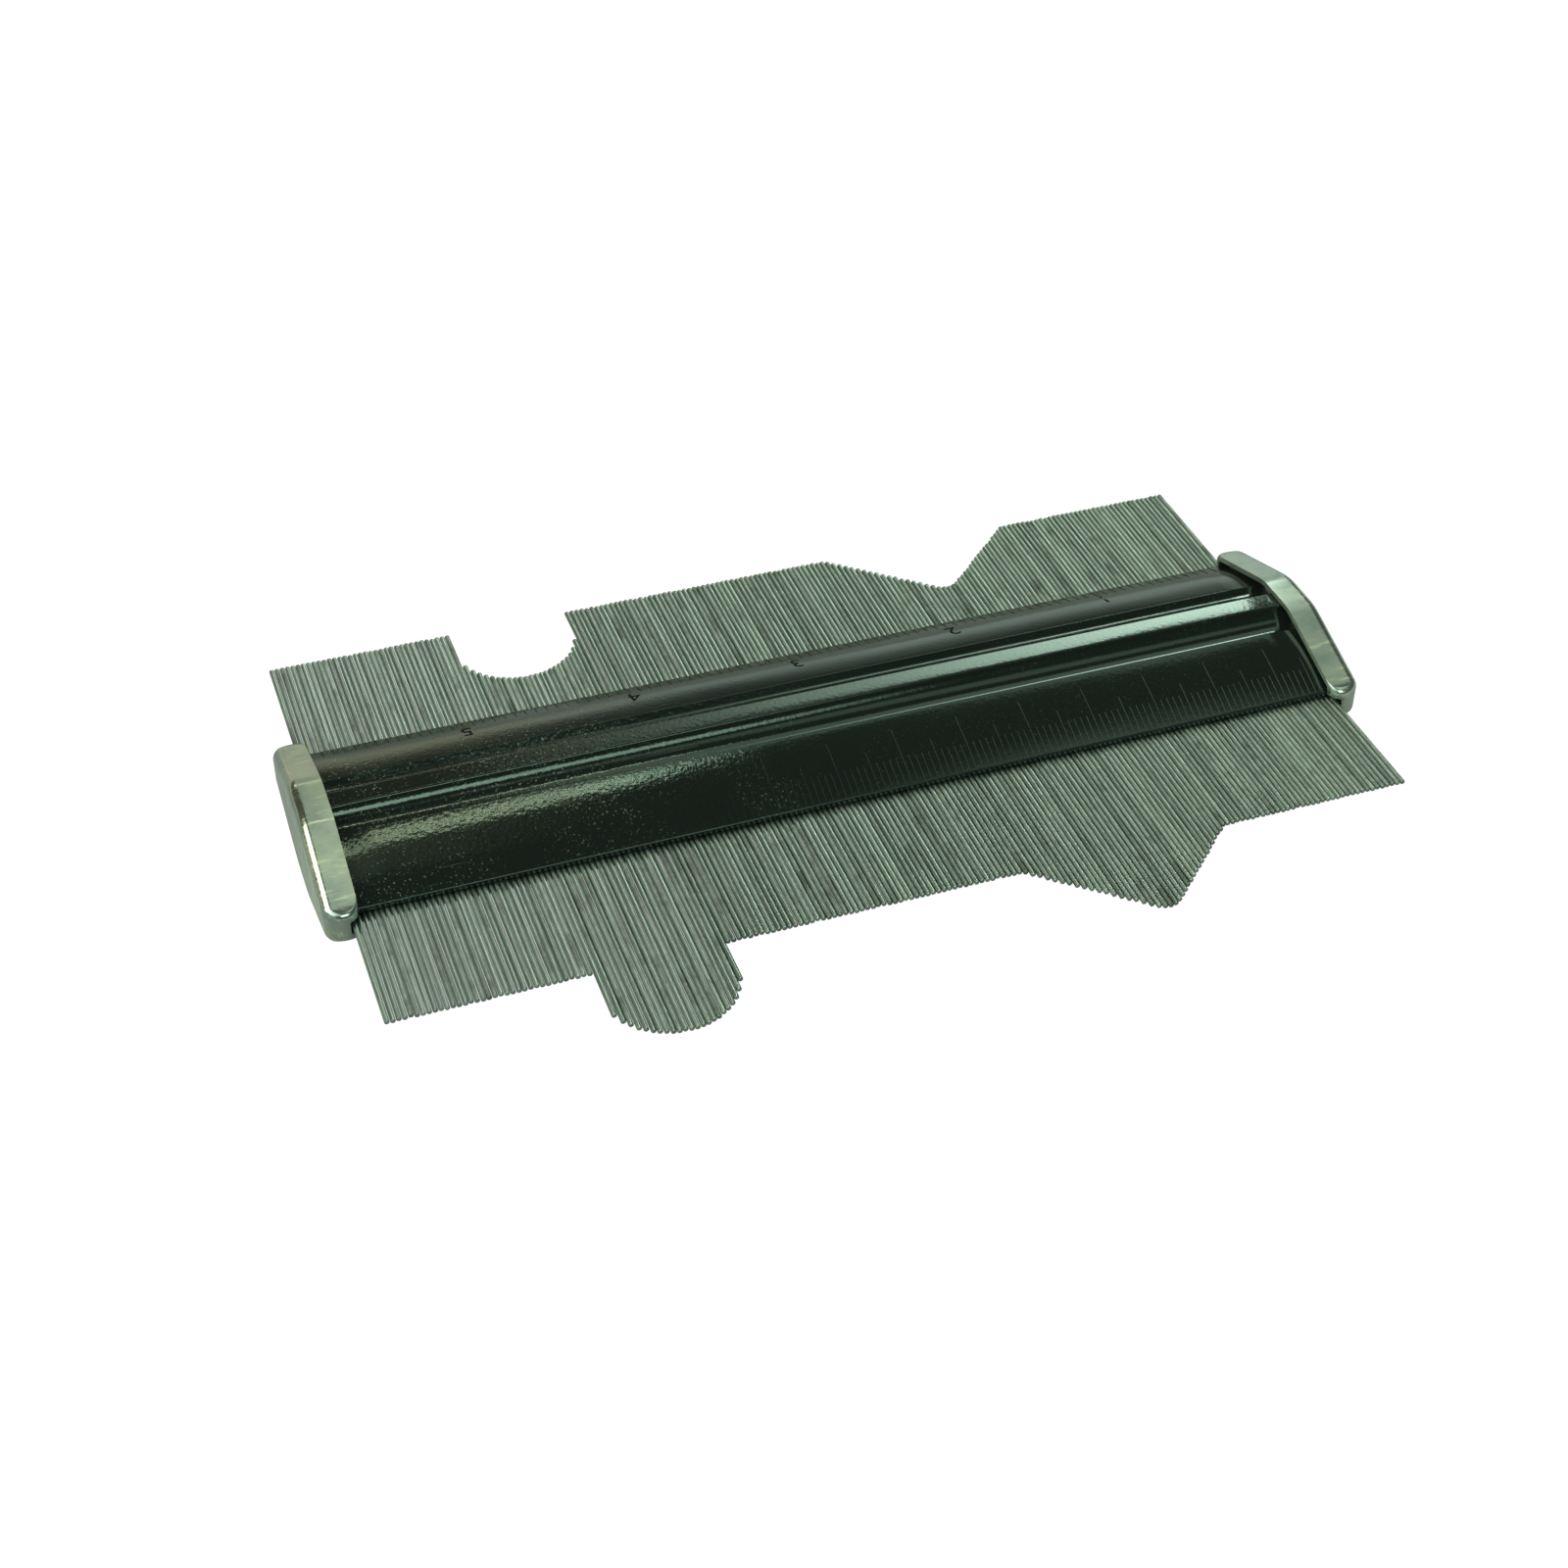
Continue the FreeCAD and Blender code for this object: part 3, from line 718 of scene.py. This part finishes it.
wire_numbers = np.arange(WIRE_COUNT)
groups = [wire_numbers[start:start + WIRES_PER_GROUP] for start in range(0, WIRE_COUNT, WIRES_PER_GROUP)]
wire_pieces = [make_wires(index + 1, group) for index, group in enumerate(groups)]
print("wire groups:", len(wire_pieces))

# %% [markdown]
# ## The scales
# The near flange carries a millimetre scale: short, middle and long lines, from the edge upwards. The
# far flange has sixteenths of an inch, with a number at each inch, read from that side. Each line is
# a thin flat bar that lies on the slope of the flange, a few hundredths of a millimetre proud.

# %% Flange coordinates
LINE_WIDTH = 0.09
LINE_HEIGHT = 0.02
LINE_RINGS = 7
FLANGE_CHORD = math.hypot(COVER_HALF_WIDTH - CREST[0], CREST[1] - EDGE_TOP_Z)
FLANGE_HALF_TURN = math.asin(FLANGE_CHORD / 2.0 / FLANGE_RADIUS)
EDGE_LEAN = math.atan2(CREST[1] - EDGE_TOP_Z, COVER_HALF_WIDTH - CREST[0]) + FLANGE_HALF_TURN
STRAIGHT = (FLANGE_RADIUS - FLANGE_ARC_RADIUS) * math.tan(FLANGE_HALF_TURN)


def on_flange(x, up, height, side):
    """Points on the flange of one side (+1 or -1 along Y), from x, distance up the slope and height.

    The slope leans by L at the edge, stays straight for a little, and then turns as an arc of radius R:
    a distance s along it the lean is M = L - s / R, and it has gone in by R (sin L - sin M) and risen
    by R (cos M - cos L).
    """
    first = np.minimum(up, STRAIGHT)
    lean = EDGE_LEAN - (up - first) / FLANGE_ARC_RADIUS
    inwards = first * math.cos(EDGE_LEAN) + FLANGE_ARC_RADIUS * (math.sin(EDGE_LEAN) - np.sin(lean))
    rise = first * math.sin(EDGE_LEAN) + FLANGE_ARC_RADIUS * (np.cos(lean) - math.cos(EDGE_LEAN))
    y = COVER_HALF_WIDTH - inwards + height * np.sin(lean)
    z = EDGE_TOP_Z + rise + height * np.cos(lean)
    z = z + sheet_waves(x, side * y)
    return np.stack([x, side * y, z], axis=-1)


def turned_over(points):
    """The same place on the lower cover: half a turn about X."""
    return points * np.array([1.0, -1.0, -1.0])


def line_bars(x, start, end, side):
    """A strip for every line, from its start to its end up the slope, in six short steps."""
    step, corner = np.meshgrid(np.linspace(0.0, 1.0, LINE_RINGS), np.arange(4), indexing="ij")
    across = np.array([-0.5, 0.5, 0.5, -0.5])[corner].ravel() * LINE_WIDTH
    height = np.array([-1.0, -1.0, 1.0, 1.0])[corner].ravel() * LINE_HEIGHT
    up = start[:, None] + (end - start)[:, None] * step.ravel()
    points = on_flange(x[:, None] + across, up, np.broadcast_to(height, up.shape), side).reshape(-1, 3)
    first = np.arange(4)
    ends = [first[::-1], first + 4 * (LINE_RINGS - 1)]
    quads = np.concatenate([grid_faces(LINE_RINGS, 4), ends])
    return points, (quads[None] + 4 * LINE_RINGS * np.arange(len(x))[:, None, None]).reshape(-1, 4)


# %% Millimetre and inch lines
SCALE_END_X = 72.6
MILLIMETRE_ZERO_X = -73.1
INCH = 25.4
INCH_ZERO_X = 76.2
LINE_START = 0.35
LONG_LINE, MIDDLE_LINE, SHORT_LINE, INCH_LINE = 9.6, 6.7, 4.7, 3.3

millimetre = np.arange(2, 147)
millimetre = millimetre[np.abs(MILLIMETRE_ZERO_X + millimetre) < SCALE_END_X]
millimetre_x = MILLIMETRE_ZERO_X + millimetre
line_tops = np.where(millimetre % 5 == 0, MIDDLE_LINE, SHORT_LINE)
line_tops = np.where(millimetre % 10 == 0, LONG_LINE, line_tops)
sixteenth = np.arange(3, 95)
inch_x = INCH_ZERO_X - sixteenth * INCH / 16.0
inch_x = inch_x[np.abs(inch_x) < SCALE_END_X]
near_bars = line_bars(millimetre_x, np.full(len(millimetre), LINE_START), line_tops, -1.0)
far_bars = line_bars(inch_x, np.full(len(inch_x), LINE_START), np.full(len(inch_x), INCH_LINE), 1.0)


def make_scale(name, bars, finish, lower):
    """The lines of one scale, on the upper cover or turned over onto the lower one."""
    points, quads = bars
    if lower:
        points = turned_over(points)
    points = points + np.array([0.0, 0.0, WIRE_PLANE])
    return make_piece(name, points, [quads], finish, "casing", sharp_degrees=30.0)


scales = []
for prefix, lower in (("upper", False), ("lower", True)):
    scales.append(make_scale(prefix + "_millimetre_lines", near_bars, scale_grey, lower))
    scales.append(make_scale(prefix + "_inch_lines", far_bars, scale_dark, lower))
print("scale lines:", len(millimetre), "and", len(inch_x), "on each cover")

# %% [markdown]
# A number starts as Blender's text, with a little thickness. Text is a curve, so it is made a mesh
# first, and its points are then carried onto the flange by the same formula as the lines.

# %% Inch numbers
DIGIT_HEIGHT = 3.4
DIGIT_WIDTH_SHARE = 0.82
DIGIT_FOOT = 3.9


def digit_mesh(text):
    """The points and faces of a number, in millimetres, centred in x, with its foot at zero."""
    curve = bpy.data.curves.new("digit", "FONT")
    curve.body = text
    curve.extrude = 0.01
    curve.resolution_u = 3
    holder = bpy.data.objects.new("digit", curve)
    bpy.context.scene.collection.objects.link(holder)
    bpy.context.view_layer.update()
    mesh = bpy.data.meshes.new_from_object(holder)
    points = np.zeros(len(mesh.vertices) * 3)
    mesh.vertices.foreach_get("co", points)
    points = points.reshape(-1, 3)
    faces = [list(face.vertices) for face in mesh.polygons]
    bpy.data.objects.remove(holder)
    low, high = points.min(axis=0), points.max(axis=0)
    scale = DIGIT_HEIGHT / (high[1] - low[1])
    x = (points[:, 0] - (low[0] + high[0]) / 2.0) * scale * DIGIT_WIDTH_SHARE
    return x, (points[:, 1] - low[1]) * scale, points[:, 2], faces


def make_digit(prefix, number, lower):
    """A number on the far flange, its head towards the rib as read from the far side."""
    x, up, height, faces = digit_mesh(str(number))
    raised = np.where(height > 0.0, LINE_HEIGHT, -LINE_HEIGHT)
    points = on_flange(INCH_ZERO_X - INCH * number - x, DIGIT_FOOT + up, raised, 1.0)
    if lower:
        points = turned_over(points)
    points = (points + np.array([0.0, 0.0, WIRE_PLANE])) * MM
    mesh = bpy.data.meshes.new("%s_inch_number_%d" % (prefix, number))
    mesh.from_pydata(points.tolist(), [], faces)
    mesh.materials.append(scale_dark)
    mesh.validate()
    piece = bpy.data.objects.new(mesh.name, mesh)
    bpy.context.scene.collection.objects.link(piece)
    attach(piece, "casing")
    return piece


digits = [make_digit(p, n, low) for p, low in (("upper", False), ("lower", True)) for n in range(1, 6)]
print("numbers:", len(digits))

# %% [markdown]
# ## The parts inside
# The felt strips, pressure bars, wavy springs and end blocks already have the right shape. They keep
# it, and only get their finish.

# %% Finishes of the inner parts
INNER_FINISHES = {
    "upper_felt": felt,
    "lower_felt": felt,
    "upper_pressure_bar": spring_steel,
    "lower_pressure_bar": spring_steel,
    "upper_wavy_spring": spring_steel,
    "lower_wavy_spring": spring_steel,
    "left_end_block": cast_alloy,
    "right_end_block": cast_alloy,
}
for name, material in INNER_FINISHES.items():
    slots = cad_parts[name].data.materials
    slots.clear()
    slots.append(material)
print("inner parts finished:", len(INNER_FINISHES))

# %% [markdown]
# ## Floor and light
# The gauge lies on a white floor. For the camera the floor glows, so that it is white in any light,
# and it still shows the gauge's shadow. For all other rays it is a plain grey, so that the paint and
# the plating don't reflect a glowing table.

# %% White floor
FLOOR_HALF = 3.0
FLOOR_GREY = (0.4, 0.4, 0.4, 1.0)
FLOOR_GLOW = 0.85
GLOW_STRENGTH = 1.18


def make_floor():
    """A flat square just under the gauge, which for the camera is mostly glow and a little grey."""
    mesh = bpy.data.meshes.new("floor")
    signs = [(-1.0, -1.0), (1.0, -1.0), (1.0, 1.0), (-1.0, 1.0)]
    corners = [(FLOOR_HALF * x, FLOOR_HALF * y, cad_lowest[2]) for x, y in signs]
    mesh.from_pydata(corners, [], [(0, 1, 2, 3)])
    material = bpy.data.materials.new("white_floor")
    material.use_nodes = True
    tree = material.node_tree
    tree.nodes.clear()
    path = add(tree, "LightPath").outputs
    seen = math_node(tree, "MAXIMUM", path["Is Camera Ray"], path["Is Transmission Ray"])
    plain = add(tree, "BsdfDiffuse", {"Color": FLOOR_GREY}).outputs[0]
    glow = add(tree, "Emission", {"Color": (1.0, 1.0, 1.0, 1.0), "Strength": GLOW_STRENGTH}).outputs[0]
    share = math_node(tree, "MULTIPLY", seen, FLOOR_GLOW)
    blend = add(tree, "MixShader", {0: share, 1: plain, 2: glow}).outputs[0]
    add(tree, "OutputMaterial", {"Surface": blend})
    mesh.materials.append(material)
    floor = bpy.data.objects.new("floor", mesh)
    bpy.context.scene.collection.objects.link(floor)
    return floor


floor = make_floor()
print("floor in mm at z =", round(cad_lowest[2] / MM, 2))

# %% [markdown]
# Black gloss paint shows its surroundings more than its own colour, so the lights are drawn as
# panels on the sky. Each panel has an azimuth, from +Y towards +X, an elevation, a half width and
# a half height, all in degrees, and a brightness at its left and at its right edge. `soft` is the
# width of its blurred edge, `turn` leans it over, and `curve` bends the ramp of its brightness. The
# lamps behind the left half of the gauge are a little yellow, and the rest of the room is green-grey.

# %% Panels on the sky
PANELS = {
    "back window": dict(
        azimuth=21.5, elevation=33.0, half=(8.7, 7.0), soft=0.9, left=0.4, right=13.0, curve=2.0, turn=10.0),
    "pale wall above it": dict(
        azimuth=33.0, elevation=51.0, half=(11.0, 9.3), soft=0.8, left=1.2, right=0.9, turn=20.0),
    "right part of the horizon": dict(
        azimuth=33.0, elevation=4.0, half=(16.0, 8.0), soft=4.0, left=0.1, right=0.2),
    "low glow on the left": dict(
        azimuth=2.0, elevation=25.0, half=(12.0, 2.4), soft=2.0, left=2.5, right=2.5),
    "high lamp": dict(
        azimuth=13.0, elevation=67.5, half=(8.4, 1.0), soft=0.8, left=4.0, right=14.0, turn=22.0),
    "haze behind the high lamp": dict(
        azimuth=6.0, elevation=75.0, half=(7.0, 7.0), soft=4.0, left=0.6, right=0.2),
    "ceiling glow": dict(
        azimuth=125.0, elevation=66.0, half=(14.0, 7.0), soft=8.0, left=0.9, right=0.9),
    "front lamp": dict(
        azimuth=172.0, elevation=40.0, half=(10.0, 7.0), soft=6.0, left=5.0, right=8.0),
    "wide soft light": dict(
        azimuth=255.0, elevation=48.0, half=(34.0, 26.0), soft=9.0, left=1.5, right=6.0, curve=2.0),
}
SKY_LEVEL = 0.12
SKY_TINT = (0.82, 1.0, 0.89)
LAMP_TINT = (1.0, 1.0, 0.74)
HORIZON_LEVEL = 0.8
HORIZON_TOP = 9.0


def along(tree, direction, axis):
    """How far a direction goes along an axis."""
    return add(tree, "VectorMath", {0: direction, 1: axis}, operation="DOT_PRODUCT").outputs["Value"]


def summed(tree, values, factors):
    """The first value times its factor plus the second value times its own."""
    products = [math_node(tree, "MULTIPLY", value, factor) for value, factor in zip(values, factors)]
    return math_node(tree, "ADD", *products)


def add_panel(tree, direction, panel):
    """The light of one panel: soft steps in its two flat coordinates, and a ramp from left to right."""
    a, e = math.radians(panel["azimuth"]), math.radians(panel["elevation"])
    facing = along(tree, direction, (math.cos(e) * math.sin(a), math.cos(e) * math.cos(a), math.sin(e)))
    rightwards = along(tree, direction, (math.cos(a), -math.sin(a), 0.0))
    upwards = along(tree, direction, (-math.sin(e) * math.sin(a), -math.sin(e) * math.cos(a), math.cos(e)))
    safe = math_node(tree, "MAXIMUM", facing, 0.01)
    light = between(tree, facing, 0.0, 0.05)
    soft = math.tan(math.radians(panel["soft"]))
    turn = math.radians(panel.get("turn", 0.0))
    flat = [math_node(tree, "DIVIDE", value, safe) for value in (rightwards, upwards)]
    sideways = summed(tree, flat, (math.cos(turn), -math.sin(turn)))
    upright = summed(tree, flat, (math.sin(turn), math.cos(turn)))
    for value, half in zip((sideways, upright), panel["half"]):
        limit = math.tan(math.radians(half))
        distance = math_node(tree, "ABSOLUTE", value)
        step = between(tree, distance, limit - soft / 2.0, limit + soft / 2.0, 1.0, 0.0)
        light = math_node(tree, "MULTIPLY", light, step)
    reach = math.tan(math.radians(panel["half"][0]))
    share = add(tree, "MapRange", {"Value": sideways, 1: -reach, 2: reach}).outputs[0]
    share = math_node(tree, "POWER", share, panel.get("curve", 1.0))
    ramp = add(tree, "MapRange", {"Value": share, 3: panel["left"], 4: panel["right"]}).outputs[0]
    return math_node(tree, "MULTIPLY", light, ramp)


def make_sky():
    """The panels over a dim sky with a pale horizon, and plain white where the camera looks."""
    world = bpy.data.worlds.new("studio")
    bpy.context.scene.world = world
    world.use_nodes = True
    tree = world.node_tree
    tree.nodes.clear()
    direction = add(tree, "TexCoord").outputs["Generated"]
    split = add(tree, "SeparateXYZ", {0: direction}).outputs
    top = math.sin(math.radians(HORIZON_TOP))
    light = between(tree, split["Z"], top * 0.2, top * 1.4, HORIZON_LEVEL, SKY_LEVEL)
    for panel in PANELS.values():
        light = math_node(tree, "ADD", light, add_panel(tree, direction, panel))
    seen = add(tree, "LightPath").outputs["Is Camera Ray"]
    studio = add(tree, "Background", {"Strength": light}).outputs[0]
    white = add(tree, "Background", {"Color": (1.0, 1.0, 1.0, 1.0), "Strength": 1.0}).outputs[0]
    behind = between(tree, split["Y"], 0.1, 0.3)
    lamps = math_node(tree, "MULTIPLY", behind, between(tree, split["X"], 0.14, 0.24, 1.0, 0.0))
    tree.links.new(mixed(tree, lamps, SKY_TINT, LAMP_TINT), studio.node.inputs["Color"])
    both = add(tree, "MixShader", {0: seen, 1: studio, 2: white}).outputs[0]
    add(tree, "OutputWorld", {"Surface": both})
    return world


sky = make_sky()
print("sky panels:", len(PANELS))

# %% [markdown]
# ## Camera
# The camera stands where the photograph was taken from: to the left of the middle, above the near
# side, looking down at about forty degrees.

# %% Camera
CAMERA_PLACE = (-105.1, -276.5, 238.75)
CAMERA_FORWARD = (0.26003, 0.72822, -0.63410)
CAMERA_RIGHT = (0.94286, -0.33315, 0.00405)
CAMERA_LENS = 58.464

camera_data = bpy.data.cameras.new("camera")
camera_data.lens = CAMERA_LENS
camera_data.sensor_width = 36.0
camera_data.clip_start, camera_data.clip_end = 0.01, 20.0
camera = bpy.data.objects.new("camera", camera_data)
bpy.context.scene.collection.objects.link(camera)
forward = Vector(CAMERA_FORWARD).normalized()
right = Vector(CAMERA_RIGHT).normalized()
up = right.cross(forward).normalized()
turned = Matrix((right, up, -forward)).transposed().to_4x4()
camera.matrix_world = Matrix.Translation(Vector(CAMERA_PLACE) * MM) @ turned
bpy.context.scene.camera = camera
bpy.context.scene.view_settings.view_transform = "Standard"
print("camera at", [round(v, 3) for v in camera.location])
